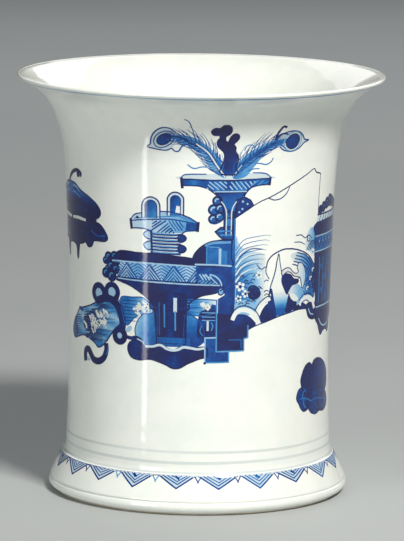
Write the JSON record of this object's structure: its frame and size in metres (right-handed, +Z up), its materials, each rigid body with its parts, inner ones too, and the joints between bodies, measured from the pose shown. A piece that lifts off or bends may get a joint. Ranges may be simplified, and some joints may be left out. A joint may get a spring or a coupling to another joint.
{
  "type": "brush pot",
  "caption": "Waisted cylindrical porcelain brush pot with an everted lip and a stepped splayed foot, painted in underglaze blue; holds writing brushes upright.",
  "frame": {"origin": "centre of the foot's standing ring, on the surface the pot stands on", "axes": "+Z up along the pot's axis, out of the mouth; -Y towards the side with the main painted group"},
  "size_m": [0.1316, 0.1315, 0.15],
  "materials": {
    "glaze": "glossy",
    "biscuit": "matte",
    "cobalt": "cobalt painting under the glossy glaze"
  },
  "bodies": {
    "root": {"splayed_foot": "biscuit", "barrel_wall": "biscuit", "flared_mouth": "biscuit", "base_slab": "biscuit", "corner_coil": "biscuit", "glaze_outside": "glaze", "glaze_inside": "glaze", "glaze_base": "glaze"}
  },
  "joints": []
}
